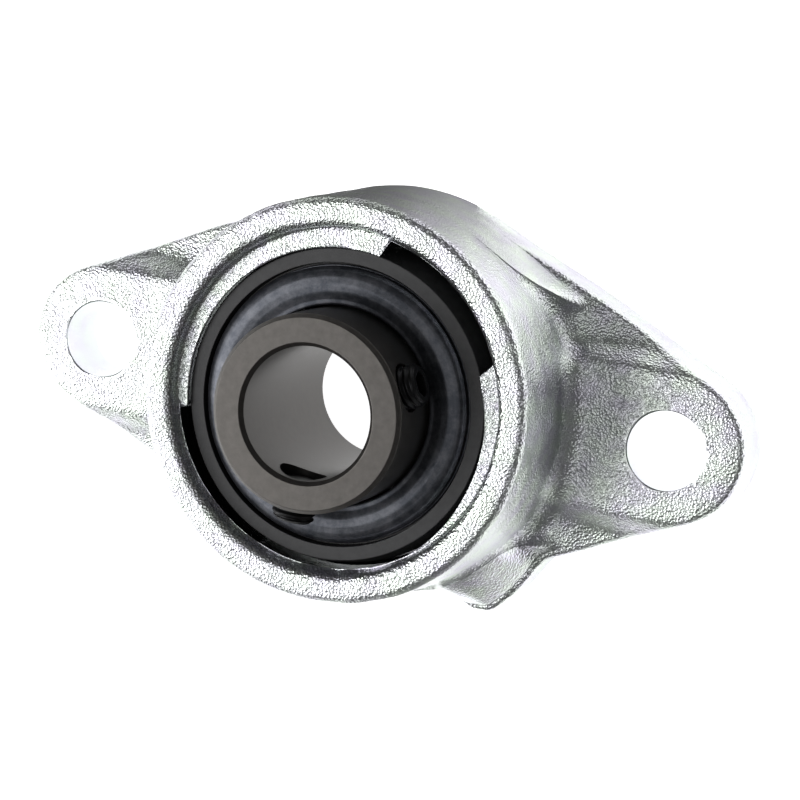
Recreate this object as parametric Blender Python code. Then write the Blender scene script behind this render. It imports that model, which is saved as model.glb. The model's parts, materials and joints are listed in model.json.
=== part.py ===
"""Two-bolt flange bearing unit: a cast oval housing that holds a self-aligning insert bearing.

Metres, +Z up. The shaft axis is Z, the mounting face lies at z = 0 and the bolt holes lie along X.
The insert sits in a ball-shaped seat in the housing and is locked to the shaft by two set screws.
"""

from math import asin, cos, pi, radians, sin, sqrt

import bmesh
import bpy
from mathutils import Matrix

MM = 0.001

# Fits and clearances
PART_GAP = 0.3 * MM          # between pieces that touch on the real unit
ROLLING_GAP = 0.2 * MM       # between a ball and each raceway
RUNNING_GAP = 0.5 * MM       # between a still and a turning piece
CAGE_GAP = 0.431 * MM        # between the cage and the shield in front of it

# Insert bearing
OUTER_SPHERE_R = 23.5 * MM
OUTER_RING_WALL = 2.581 * MM  # from the raceway's bottom to the ball-shaped outside
OUTER_LAND_DEPTH = 1.5 * MM   # how deep the outer raceway is below its lands
INNER_LAND_DEPTH = 1.519 * MM
FACE_LIP = 3.1 * MM           # width of the outer ring's face
SHAFT_R = 9.525 * MM
INNER_FRONT = 18.3 * MM       # from the seat's centre to the inner ring's front face
INNER_REAR = 12.7 * MM
RING_CHAMFER = 0.55 * MM
BALL_COUNT = 8
BALL_R = 3.969 * MM
RACEWAY_FIT = 1.07            # raceway's radius over the ball's
CAGE_WIDTH = 3.5 * MM
CAGE_CROWN = 0.8 * MM         # thickness of the cage beyond its pockets
CAGE_SKIRT = 1.5 * MM         # how far the cage's prongs reach past the balls' centres
SHIELD_T = 0.5 * MM
SHIELD_INSET = 1.0 * MM       # from the outer ring's face to the shield's outer side
FLINGER_T = 0.55 * MM
FLINGER_CREST = 1.0 * MM      # how far the flinger's crest stands out of its edge
SCREW_R = 3.1 * MM
SCREW_PROUD = 2.0 * MM
SCREW_TIP_GAP = 0.775 * MM    # from the bore's wall to the screw's point
SCREW_FROM_FACE = 4.8 * MM
SCREW_ANGLES = (24.0, -96.0)
HEX_SOCKET_R = 1.83 * MM
HEX_SOCKET_DEPTH = 2.8 * MM

# Cast housing
BOLT_SPACING = 90.0 * MM
BOLT_HOLE_R = 5.75 * MM
TAB_R = 11.0 * MM
CUP_WALL = 6.75 * MM          # from the insert's ball-shaped outside to the cup's outside
CUP_DRAFT = 1.2 * MM
FLANGE_T = 10.5 * MM          # at the bolt pads
WEB_T = 7.0 * MM              # between the pads and the flange's straight edges
FLANGE_EDGE_R = 1.6 * MM
STEP_IN = 0.1 * MM            # how far an upper shape of the casting stands inside the one below
RIM_ABOVE_SEAT = 10.5 * MM
RIM_OUTER_EDGE_R = 1.5 * MM
RIM_INNER_EDGE_R = 1.1 * MM
SLOT_DEPTH = 0.25 * MM        # how far the loading slots are cut outside the seat
RIM_STEP = 0.85 * MM          # how far the rim's wall stands outside the loading slots
CUP_FILLET_R = 4.5 * MM
SEAT_Z = 19.0 * MM
LEDGE_STEP = 0.5 * MM         # how far the ledge stands above the outer ring's face
REAR_LIP = 2.3 * MM           # how far the rear bore is inside the seat
SLOT_WIDTH = 23.5 * MM
SLOT_ANGLE = 51.0             # degrees from +X to the first loading slot
BOSS_ANGLE = -52.0            # degrees from +X to the undrilled lubrication boss
BOSS_SIDE_H = 7.0 * MM
BOSS_TOP_H = 15.0 * MM
# The boss's plan: (how far it stands out of the cup, how far to its side), both in millimetres
BOSS_PLAN = ((3.1, -4.7), (5.3, -3.4), (6.3, -1.2), (5.9, 2.8), (4.1, 8.6))
BOSS_RIDGE = ((0.6, -3.2), (0.6, 4.6))

# Mesh steps
HOUSING_STEPS = 72
RING_STEPS = 60
CAGE_STEPS = 48
SMALL_STEPS = 20

PITCH_R = OUTER_SPHERE_R - OUTER_RING_WALL - ROLLING_GAP - BALL_R
RACEWAY_R = BALL_R * RACEWAY_FIT
INNER_RACE_R = PITCH_R - BALL_R - ROLLING_GAP
OUTER_RACE_R = PITCH_R + BALL_R + ROLLING_GAP
INNER_RING_R = INNER_RACE_R + INNER_LAND_DEPTH
LAND_R = OUTER_RACE_R - OUTER_LAND_DEPTH
FACE_BORE_R = OUTER_SPHERE_R - FACE_LIP
CAGE_TOP = BALL_R + PART_GAP + CAGE_CROWN
FACE_Z = CAGE_TOP + CAGE_GAP + SHIELD_T + SHIELD_INSET
FLINGER_R = FACE_BORE_R - RUNNING_GAP
SCREW_LENGTH = INNER_RING_R + SCREW_PROUD - SHAFT_R - SCREW_TIP_GAP
SCREW_Z = SEAT_Z + INNER_FRONT - SCREW_FROM_FACE
SEAT_R = OUTER_SPHERE_R + PART_GAP
SLOT_R = SEAT_R + SLOT_DEPTH
RIM_WALL_R = SLOT_R + RIM_STEP
REAR_BORE_R = SEAT_R - REAR_LIP
LEDGE_Z = SEAT_Z + FACE_Z + LEDGE_STEP
CUP_R = OUTER_SPHERE_R + CUP_WALL
HOUSING_H = SEAT_Z + RIM_ABOVE_SEAT

MATERIALS = {
    "zinc_housing": ((0.62, 0.64, 0.63, 1.0), 0.42, 1.0),
    "dark_ring": ((0.05, 0.05, 0.052, 1.0), 0.4, 1.0),
    "polished_ball": ((0.6, 0.6, 0.62, 1.0), 0.12, 1.0),
    "graphite": ((0.03, 0.03, 0.033, 1.0), 0.7, 0.0),
    "dark_sheet": ((0.02, 0.022, 0.03, 1.0), 0.35, 1.0),
    "black_screw": ((0.015, 0.015, 0.017, 1.0), 0.4, 1.0),
}


def clear_scene():
    for old in list(bpy.data.objects):
        bpy.data.objects.remove(old, do_unlink=True)


def make_materials():
    made = {}
    for name, (colour, roughness, metallic) in MATERIALS.items():
        material = bpy.data.materials.new(name)
        material.use_nodes = True
        shader = material.node_tree.nodes["Principled BSDF"]
        shader.inputs["Base Color"].default_value = colour
        shader.inputs["Roughness"].default_value = roughness
        shader.inputs["Metallic"].default_value = metallic
        made[name] = material
    return made


def add_object(name, bm, material=None):
    """Turn a bmesh into a smooth-shaded object with its faces pointing out."""
    bmesh.ops.recalc_face_normals(bm, faces=bm.faces)
    mesh = bpy.data.meshes.new(name)
    bm.to_mesh(mesh)
    bm.free()
    mesh.shade_smooth()
    mesh.set_sharp_from_angle(angle=radians(35))
    if material:
        mesh.materials.append(material)
    made = bpy.data.objects.new(name, mesh)
    bpy.context.collection.objects.link(made)
    return made


def as_cutter(made):
    made.hide_render = True
    made.display_type = "WIRE"
    made.hide_set(True)
    return made


def boolean(target, tool, operation):
    modifier = target.modifiers.new(tool.name, "BOOLEAN")
    modifier.object = as_cutter(tool)
    modifier.operation = operation
    modifier.solver = "EXACT"


def arc(centre_r, centre_z, radius, start, end, steps):
    """Points (r, z) along an arc; angles in degrees from the +r direction."""
    points = []
    for step in range(steps + 1):
        angle = radians(start + (end - start) * step / steps)
        points.append((centre_r + radius * cos(angle), centre_z + radius * sin(angle)))
    return points


def angle_at_height(radius, height):
    """Degrees from the +r direction to the point of a circle at this height."""
    return asin(height / radius) * 180 / pi


def turned(name, profile, steps, material=None, solid=False):
    """Turn a profile of (r, z) points about Z: a closed loop, or a solid closed by two flat caps."""
    bm = bmesh.new()
    rings = []
    for r, z in profile:
        ring = []
        for step in range(steps):
            angle = 2 * pi * step / steps
            ring.append(bm.verts.new((r * cos(angle), r * sin(angle), z)))
        rings.append(ring)
    pairs = list(zip(rings, rings[1:]))
    if solid:
        bm.faces.new(rings[0])
        bm.faces.new(rings[-1])
    else:
        pairs.append((rings[-1], rings[0]))
    for lower, upper in pairs:
        for step in range(steps):
            after = (step + 1) % steps
            bm.faces.new((lower[step], lower[after], upper[after], upper[step]))
    return add_object(name, bm, material)


def plan_outline(inset, middle_r, arc_steps=12):
    """Two tab arcs and two middle arcs of radius middle_r, joined by their common tangents."""
    half = BOLT_SPACING / 2
    tilt = asin((middle_r - TAB_R) / half)
    points = []
    for centre, radius, start, sweep in (
        (half, TAB_R, tilt - pi / 2, pi - 2 * tilt),
        (0.0, middle_r, pi / 2 - tilt, 2 * tilt),
        (-half, TAB_R, pi / 2 + tilt, pi - 2 * tilt),
        (0.0, middle_r, 3 * pi / 2 - tilt, 2 * tilt),
    ):
        for step in range(arc_steps + 1):
            angle = start + sweep * step / arc_steps
            points.append((centre + (radius - inset) * cos(angle), (radius - inset) * sin(angle)))
    return points


def stadium(inset, arc_steps=12):
    """The bolt pads' strip: straight sides between two half circles round the bolt holes."""
    radius = TAB_R - inset
    points = []
    for side, start in ((1, -pi / 2), (-1, pi / 2)):
        for step in range(arc_steps + 1):
            angle = start + pi * step / arc_steps
            points.append((side * BOLT_SPACING / 2 + radius * cos(angle), radius * sin(angle)))
    return points


def stacked(name, levels):
    """Loft closed plan outlines: levels of (points, z), all with the same number of points."""
    bm = bmesh.new()
    rings = []
    for points, z in levels:
        rings.append([bm.verts.new((x, y, z)) for x, y in points])
    bm.faces.new(rings[0])
    bm.faces.new(rings[-1])
    count = len(rings[0])
    for lower, upper in zip(rings, rings[1:]):
        for step in range(count):
            after = (step + 1) % count
            bm.faces.new((lower[step], lower[after], upper[after], upper[step]))
    return add_object(name, bm)


def web_plate():
    """The whole oval of the flange at the height of its thinner sides."""
    edge = FLANGE_EDGE_R
    foot = edge / 4
    levels = [(plan_outline(foot, CUP_R), 0.0), (plan_outline(0.0, CUP_R), foot)]
    for x, z in arc(-edge, WEB_T - edge, edge, 0, 90, 3):
        levels.append((plan_outline(-x, CUP_R), z))
    return stacked("web_plate", levels)


def pad_strip():
    """The raised flat strip that carries both bolt holes."""
    edge = FLANGE_EDGE_R
    levels = [(stadium(STEP_IN), WEB_T / 2)]
    for x, z in arc(-edge, FLANGE_T - edge, edge, 0, 90, 3):
        levels.append((stadium(STEP_IN - x), z))
    return stacked("pad_strip", levels)


def cup():
    rim = RIM_OUTER_EDGE_R
    top_r = CUP_R - CUP_DRAFT
    profile = [(CUP_R - STEP_IN, WEB_T / 2)]
    profile += arc(top_r - rim, HOUSING_H - rim, rim, 0, 90, 4)
    return turned("cup_solid", profile, HOUSING_STEPS, solid=True)


def cup_fillet():
    """Flare at the cup's foot, kept inside the flat top of the flange."""
    radius = CUP_FILLET_R
    foot_z = WEB_T - PART_GAP
    profile = [(CUP_R + radius, foot_z)]
    profile += arc(CUP_R + radius, WEB_T + radius, radius, 270, 184, 6)
    profile += [(CUP_R - CUP_DRAFT - PART_GAP, WEB_T + radius + PART_GAP)]
    flare = turned("flare", profile, HOUSING_STEPS, solid=True)
    limit = plan_outline(FLANGE_EDGE_R, CUP_R)
    boolean(flare, stacked("flare_limits", [(limit, foot_z - MM), (limit, SEAT_Z)]), "INTERSECT")
    return flare


def boss():
    """Undrilled lubrication boss: a lug with an oblique flat that faces outwards and forwards."""
    root = CUP_R - RIM_OUTER_EDGE_R
    foot = FLANGE_EDGE_R / 4
    points = []
    for proud, side in BOSS_PLAN:
        points += [(CUP_R + proud * MM, side * MM, foot), (CUP_R + proud * MM, side * MM, BOSS_SIDE_H)]
    for proud, side in BOSS_RIDGE:
        points += [(CUP_R + proud * MM, side * MM, BOSS_TOP_H), (root, side * MM, BOSS_TOP_H)]
    for side in (BOSS_PLAN[0][1], BOSS_PLAN[-1][1]):
        points += [(root, side * MM, foot), (root, side * MM, FLANGE_T)]
    bm = bmesh.new()
    for reach, side, z in points:
        bm.verts.new((reach, side, z))
    bmesh.ops.convex_hull(bm, input=bm.verts)
    made = add_object("boss", bm)
    made.rotation_euler.z = radians(BOSS_ANGLE)
    return made


def seat_cutter():
    """Everything that is open along the axis: rear bore, ball-shaped seat, ledge and rim."""
    low = -angle_at_height(SEAT_R, sqrt(SEAT_R ** 2 - REAR_BORE_R ** 2))
    high = angle_at_height(SEAT_R, LEDGE_Z - SEAT_Z)
    rim = RIM_INNER_EDGE_R
    profile = [(REAR_BORE_R, -MM)]
    profile += arc(0.0, SEAT_Z, SEAT_R, low, high, 10)
    profile += [(RIM_WALL_R, LEDGE_Z)]
    profile += arc(RIM_WALL_R + rim, HOUSING_H - rim, rim, 180, 90, 3)
    profile += [(RIM_WALL_R + rim, HOUSING_H + MM)]
    return turned("seat_cutter", profile, RING_STEPS, solid=True)


def slot_cutter(angle):
    """One loading slot: it opens the ledge from the seat's centre to the front."""
    half_turn = asin(SLOT_WIDTH / 2 / SLOT_R)
    steps = 10
    bm = bmesh.new()
    inner_r = REAR_BORE_R - MM
    plan = []
    for step in range(steps + 1):
        turn = -half_turn + 2 * half_turn * step / steps
        plan.append((SLOT_R * cos(turn), SLOT_R * sin(turn)))
    plan += [(inner_r * cos(half_turn), SLOT_WIDTH / 2), (inner_r * cos(half_turn), -SLOT_WIDTH / 2)]
    lower = [bm.verts.new((x, y, SEAT_Z)) for x, y in plan]
    upper = [bm.verts.new((x, y, LEDGE_Z + MM)) for x, y in plan]
    bm.faces.new(lower)
    bm.faces.new(upper)
    for step in range(len(plan)):
        after = (step + 1) % len(plan)
        bm.faces.new((lower[step], lower[after], upper[after], upper[step]))
    made = add_object(f"slot_cutter_{angle:.0f}", bm)
    made.rotation_euler.z = radians(angle)
    return made


def cylinder(name, radius, low, high, steps=SMALL_STEPS):
    return turned(name, [(radius, low), (radius, high)], steps, solid=True)


def housing(material):
    edge = FLANGE_EDGE_R
    body = web_plate()
    body.name = "housing"
    body.data.materials.append(material)
    for added in (pad_strip(), cup(), cup_fillet(), boss()):
        boolean(body, added, "UNION")
    boolean(body, seat_cutter(), "DIFFERENCE")
    for angle in (SLOT_ANGLE, SLOT_ANGLE + 180):
        boolean(body, slot_cutter(angle), "DIFFERENCE")
    for side in (-1, 1):
        hole = cylinder(f"bolt_hole_{side}", BOLT_HOLE_R, -edge, FLANGE_T + edge, 28)
        hole.location.x = side * BOLT_SPACING / 2
        boolean(body, hole, "DIFFERENCE")
    return body


def outer_ring(material):
    """Ring with a ball-shaped outside, one deep raceway and a recess for a shield at each face."""
    edge = angle_at_height(OUTER_SPHERE_R, FACE_Z)
    groove_centre = OUTER_RACE_R - RACEWAY_R
    half_groove = sqrt(RACEWAY_R ** 2 - (LAND_R - groove_centre) ** 2)
    groove_edge = angle_at_height(RACEWAY_R, half_groove)
    recess_z = FACE_Z - SHIELD_INSET - SHIELD_T - PART_GAP
    profile = arc(0.0, 0.0, OUTER_SPHERE_R, -edge, edge, 6)
    profile += [(FACE_BORE_R, FACE_Z), (FACE_BORE_R, recess_z), (LAND_R, recess_z)]
    profile += arc(groove_centre, 0.0, RACEWAY_R, groove_edge, -groove_edge, 6)
    profile += [(LAND_R, -recess_z), (FACE_BORE_R, -recess_z), (FACE_BORE_R, -FACE_Z)]
    made = turned("outer_ring", profile, RING_STEPS, material)
    made.location.z = SEAT_Z
    return made


def inner_ring(material):
    """Wide ring with the shaft bore, one raceway and two radial holes for the set screws."""
    groove_centre = INNER_RACE_R + RACEWAY_R
    half_groove = sqrt(RACEWAY_R ** 2 - (groove_centre - INNER_RING_R) ** 2)
    groove_edge = angle_at_height(RACEWAY_R, half_groove)
    bevel = RING_CHAMFER
    profile = [(SHAFT_R, -INNER_REAR + bevel), (SHAFT_R + bevel, -INNER_REAR)]
    profile += [(INNER_RING_R - bevel, -INNER_REAR), (INNER_RING_R, -INNER_REAR + bevel)]
    profile += arc(groove_centre, 0.0, RACEWAY_R, 180 + groove_edge, 180 - groove_edge, 6)
    profile += [(INNER_RING_R, INNER_FRONT - bevel), (INNER_RING_R - bevel, INNER_FRONT)]
    profile += [(SHAFT_R + bevel, INNER_FRONT), (SHAFT_R, INNER_FRONT - bevel)]
    made = turned("inner_ring", profile, RING_STEPS, material)
    made.location.z = SEAT_Z
    for number, angle in enumerate(SCREW_ANGLES):
        hole = cylinder(f"screw_hole_{number}", SCREW_R + PART_GAP, SHAFT_R / 2, INNER_RING_R * 1.2)
        place_on_radius(hole, angle, 0.0)
        boolean(made, hole, "DIFFERENCE")
    return made


def place_on_radius(made, angle, reach):
    """Lay an object's Z axis along a radius of the inner ring, at the set screws' height."""
    turn = Matrix.Rotation(radians(angle), 4, "Z") @ Matrix.Rotation(pi / 2, 4, "Y")
    made.matrix_world = Matrix.Translation((0, 0, SCREW_Z)) @ turn @ Matrix.Translation((0, 0, reach))


def set_screw(name, angle, material):
    """Cup-point set screw with a hexagon socket in its outer end."""
    bevel = RING_CHAMFER
    profile = [(SCREW_R / 3, bevel / 2), (SCREW_R / 2, 0.0), (SCREW_R, bevel * 1.5)]
    profile += [(SCREW_R, SCREW_LENGTH - bevel / 2), (SCREW_R - bevel / 2, SCREW_LENGTH)]
    made = turned(name, profile, SMALL_STEPS, material, solid=True)
    place_on_radius(made, angle, INNER_RING_R + SCREW_PROUD - SCREW_LENGTH)
    socket_floor = SCREW_LENGTH - HEX_SOCKET_DEPTH
    socket = cylinder(name + "_socket", HEX_SOCKET_R, socket_floor, SCREW_LENGTH + MM, 6)
    place_on_radius(socket, angle, INNER_RING_R + SCREW_PROUD - SCREW_LENGTH)
    boolean(made, socket, "DIFFERENCE")
    return made


def ball_angle(number):
    return 2 * pi * (number + 0.5) / BALL_COUNT


def ball_mesh(name, radius):
    bm = bmesh.new()
    bmesh.ops.create_uvsphere(bm, u_segments=14, v_segments=8, radius=radius)
    return add_object(name, bm)


def balls(material):
    made = []
    for number in range(BALL_COUNT):
        ball = ball_mesh(f"ball_{number + 1}", BALL_R)
        ball.data.materials.append(material)
        angle = ball_angle(number)
        ball.location = (PITCH_R * cos(angle), PITCH_R * sin(angle), SEAT_Z)
        made.append(ball)
    return made


def cage(material):
    """Crown cage: a ring in front of the balls with prongs between them."""
    inner_r = PITCH_R - CAGE_WIDTH / 2
    outer_r = PITCH_R + CAGE_WIDTH / 2
    profile = [(outer_r, -CAGE_SKIRT), (outer_r, CAGE_TOP), (inner_r, CAGE_TOP), (inner_r, -CAGE_SKIRT)]
    made = turned("cage", profile, CAGE_STEPS, material)
    made.location.z = SEAT_Z
    for number in range(BALL_COUNT):
        angle = ball_angle(number)
        pocket = ball_mesh(f"pocket_{number + 1}", BALL_R + PART_GAP)
        pocket.location = (PITCH_R * cos(angle), PITCH_R * sin(angle), SEAT_Z)
        boolean(made, pocket, "DIFFERENCE")
    return made


def shield(name, side, material):
    """Thin steel disc fixed in the outer ring's recess; side is 1 at the front, -1 at the rear."""
    far = side * (FACE_Z - SHIELD_INSET)
    near = far - side * SHIELD_T
    outer_r = FACE_BORE_R - PART_GAP
    inner_r = INNER_RING_R + RUNNING_GAP
    made = turned(name, [(inner_r, near), (outer_r, near), (outer_r, far), (inner_r, far)], CAGE_STEPS, material)
    made.location.z = SEAT_Z
    return made


def flinger(name, side, material):
    """Pressed disc on the inner ring that covers the shield; its crest stands out and its edge turns in."""
    inner_r = INNER_RING_R + PART_GAP
    base = FACE_Z - SHIELD_INSET + PART_GAP
    middle = []
    for share, rise in ((0.0, 0.6), (0.25, 0.9), (0.5, 1.0), (0.75, 0.8), (1.0, 0.0)):
        middle.append((inner_r + share * (FLINGER_R - inner_r), base + rise * FLINGER_CREST))
    profile = [(r, side * z) for r, z in middle]
    profile += [(r, side * (z + FLINGER_T)) for r, z in reversed(middle)]
    made = turned(name, profile, CAGE_STEPS, material)
    made.location.z = SEAT_Z
    return made


def build():
    clear_scene()
    materials = make_materials()
    housing(materials["zinc_housing"])
    outer_ring(materials["dark_ring"])
    inner_ring(materials["dark_ring"])
    balls(materials["polished_ball"])
    cage(materials["graphite"])
    for name, side in (("front", 1), ("rear", -1)):
        shield(f"{name}_shield", side, materials["dark_sheet"])
        flinger(f"{name}_flinger", side, materials["dark_sheet"])
    for letter, angle in zip("ab", SCREW_ANGLES):
        set_screw(f"set_screw_{letter}", angle, materials["black_screw"])


build()
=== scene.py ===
"""Two-bolt flange bearing unit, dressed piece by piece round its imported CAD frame."""

import json

import bpy
import numpy as np
from mathutils import Matrix, Vector


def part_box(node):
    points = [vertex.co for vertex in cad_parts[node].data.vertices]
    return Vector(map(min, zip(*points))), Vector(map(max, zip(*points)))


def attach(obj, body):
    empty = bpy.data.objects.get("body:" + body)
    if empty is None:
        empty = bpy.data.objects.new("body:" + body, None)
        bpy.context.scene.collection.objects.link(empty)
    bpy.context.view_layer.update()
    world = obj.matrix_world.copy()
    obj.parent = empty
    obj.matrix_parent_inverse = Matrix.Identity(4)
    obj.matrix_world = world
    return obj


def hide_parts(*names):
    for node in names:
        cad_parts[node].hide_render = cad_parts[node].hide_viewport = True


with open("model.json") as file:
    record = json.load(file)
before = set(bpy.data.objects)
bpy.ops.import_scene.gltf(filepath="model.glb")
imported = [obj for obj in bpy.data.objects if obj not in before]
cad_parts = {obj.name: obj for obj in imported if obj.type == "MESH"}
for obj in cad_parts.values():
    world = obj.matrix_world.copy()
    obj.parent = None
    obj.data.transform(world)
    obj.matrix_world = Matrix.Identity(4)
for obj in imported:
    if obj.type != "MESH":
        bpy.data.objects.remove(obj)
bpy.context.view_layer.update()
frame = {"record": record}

# Camera: a long lens looks down on the face of the unit from its front right.
CAMERA_AT = (0.14185, 0.07123, 0.40530)
CAMERA_RIGHT = (0.92780983, 0.13491363, -0.34780342)
CAMERA_UP = (-0.18416669, 0.97643232, -0.11252804)
CAMERA_BACK = (0.32442494, 0.16845843, 0.93079010)

camera = bpy.data.objects.new("camera", bpy.data.cameras.new("camera"))
camera.data.sensor_width = 36.0
camera.data.lens = 129.81
camera.data.clip_start = 0.01
camera.data.clip_end = 20.0
camera.matrix_world = Matrix.Translation(CAMERA_AT) @ Matrix(
    (CAMERA_RIGHT, CAMERA_UP, CAMERA_BACK)).transposed().to_4x4()
bpy.context.collection.objects.link(camera)
bpy.context.scene.camera = camera


# Housing: an oval iron casting with a raised strip for two bolts, thinner webs beside it and a round
# cup for the insert. It is sand cast, bored for the ball-shaped seat, drilled and zinc plated. The
# seat has two loading slots, and an undrilled lubrication boss stands out of the cup's side.
MM = 0.001
housing_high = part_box("housing")[1]
mounts = {mount["name"]: mount for mount in frame["record"]["mounts"]}
BOLT_X = mounts["bolt_pad_right"]["pos_m"][0] / MM
PAD_H = mounts["bolt_pad_right"]["pos_m"][2] / MM
TAB_R = housing_high.x / MM - BOLT_X + 0.5   # the casting's own tolerance
CUP_R = housing_high.y / MM
RIM_H = housing_high.z / MM
SEAT_Z = 19.0
CUP_DRAFT = 1.2            # how far the cup draws in from its foot to its rim
LEAN = np.arcsin((CUP_R - TAB_R) / BOLT_X)
STRAIGHT_BULGE = 0.5       # how far the casting's straight edges stand out of the true tangents
BULGE_END = 62.0           # the bulge's far end, in degrees from the line through the bolts
WEB_EDGE_H = 6.7
WEB_SLOPE = 0.2
WEB_RUN = 12.0             # how far in from its edge the web keeps rising
STRIP_INSET = 0.6          # how far inside the tab's edge the strip's shoulder starts
STRIP_FALL = 0.6           # half the slope at which the shoulder falls away
STRIP_SOFTNESS = 0.6       # square millimetres: how gently the shoulder starts to fall
JOIN_SOFTNESS = 0.9        # square millimetres: how gently the strip runs into the web
JOIN_LIFT = 0.05           # how far that gentle join would lift the strip, taken off again
EDGE_R = 1.0
EDGE_SHARE = 0.3           # the most of a narrow flange that its rounded edge may take
FOOT_R = 0.5
FILLET = 3.2
FILLET_SHARE = 0.6         # the most of a narrow flange that the fillet may take
FLANK_RISE = 11.0          # how far the fillet climbs the cup where there is no flange under it
FLANGE_ROOM = 8.0          # how wide the flange has to be for the fillet to stay down on it
RIM_OUTER_R = 1.3
RIM_INNER_R = 1.4
RIM_WALL_R = 24.7
LEDGE_Z = 27.0
LEDGE_CORNER_R = 0.5
LEDGE_EDGE_R = 0.25
SEAT_R = 23.8
SLOT_R = 24.2
REAR_BORE_R = 21.5
REAR_CHAMFER = 0.7
SLOT_ENDS = ((21.8, 79.0), (191.0, 248.5))
SLOT_END_WIDTH = 1.6       # degrees of turn over which a slot's end steps down
MOUTH_SWING = (0.0, 14.0, 190.0, 247.0, 300.0, 330.0, 360.0)
MOUTH_OPEN = (0.15, 0.0, 0.0, 0.9, 0.75, 0.42, 0.15)   # how far the seat's mouth runs out through its ledge
RIM_SHIFT = (0.45, 0.95)   # how far the cast rim lies off the axis of the bored seat
SHIFT_START = 2.0          # the height at which the side starts to lean towards the shifted rim
SHIFT_FADE = 0.5           # how much of the shift makes the slots' walls follow it in full
BOSS_SWING = (-66.5, -63.0, -59.6, -58.3, -54.2, -47.6, -40.4, -36.0, -33.5)
BOSS_REACH = (30.2, 31.9, 33.6, 35.1, 36.6, 36.2, 35.4, 35.3, 35.4)
BOSS_RIDGE_H = (9.0, 10.0, 14.0, 15.0, 15.0, 15.0, 13.5, 10.0, 9.0)
BOSS_HOLD = (0.0, 0.8, 1.0, 1.0, 1.0, 1.0, 1.0, 0.7, 0.0)
BOSS_PROUD = 0.9
BOSS_SIDE_H = 6.5
BOSS_EDGE_R = 0.9
BOSS_CROWN = 2.0           # how far above its ridge the boss has run back into the cup
BOSS_BLUR = 0.7            # degrees of turn by which the boss's corners are softened
BLUR_STEP = 0.12
HOUSING_COLUMNS = 540
CREASE = np.radians(42.0)


def share(count):
    """Even steps from just after 0 up to 1, as a column that spreads over every turn."""
    return (np.arange(1, count + 1) / count)[:, None]


def ease(x):
    """0 below 0, 1 above 1, with a smooth start and end."""
    x = np.clip(x, 0.0, 1.0)
    return x * x * (3.0 - 2.0 * x)


def outline(turn, inset):
    """Distance from the shaft axis to the oval's edge: an arc round the bolt hole, a straight tangent and
    the cup's own arc, all moved in by inset."""
    across, up = np.abs(np.cos(turn)), np.abs(np.sin(turn))
    tab, cup = TAB_R - inset, CUP_R - inset
    tip = BOLT_X * across + np.sqrt(np.clip(tab ** 2 - (BOLT_X * up) ** 2, 0.0, None))
    swing = np.arctan2(up, across)
    bulge = np.sin(np.pi * ease(np.degrees(swing) / BULGE_END)) ** 2
    straight = cup / (across * np.sin(LEAN) + up * np.cos(LEAN)) + STRAIGHT_BULGE * bulge
    tab_end = np.arctan2(tab * np.cos(LEAN), BOLT_X + tab * np.sin(LEAN))
    return np.where(swing < tab_end, tip, np.where(swing < np.pi / 2 - LEAN, straight, cup + 0 * swing))


def flange_top(turn, reach):
    """Height of the flange's upper side: webs that rise slowly from the straight edges, and the pad strip
    above them, whose rounded shoulder falls away outside its width."""
    x, y = np.abs(reach * np.cos(turn)), np.abs(reach * np.sin(turn))
    web = WEB_EDGE_H + WEB_SLOPE * np.clip(CUP_R - x * np.sin(LEAN) - y * np.cos(LEAN), 0.0, WEB_RUN)
    beyond = np.hypot(np.clip(x - BOLT_X, 0.0, None), y) - (TAB_R - STRIP_INSET)
    strip = PAD_H - STRIP_FALL * (np.sqrt(beyond ** 2 + STRIP_SOFTNESS) + beyond)
    return (web + strip + np.sqrt((web - strip) ** 2 + JOIN_SOFTNESS)) / 2 - JOIN_LIFT


def cup_side(z):
    """The cup's drafted outside."""
    return CUP_R - CUP_DRAFT * z / RIM_H


def boss_profile(turn):
    """The boss round the axis: how far out it stands, how high its ridge is and how fully it takes over the
    casting's own profile, each read off its plan and smoothed along the turn."""
    swing = (np.degrees(turn) + 180.0) % 360.0 - 180.0
    near = np.arange(-9, 10) * BLUR_STEP
    weight = np.exp(-(near / BOSS_BLUR) ** 2)
    reach, ridge, hold = (
        (np.interp(swing[:, None] + near, BOSS_SWING, values) * weight).sum(1) / weight.sum()
        for values in (BOSS_REACH, BOSS_RIDGE_H, BOSS_HOLD))
    return reach, ridge, hold


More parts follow.
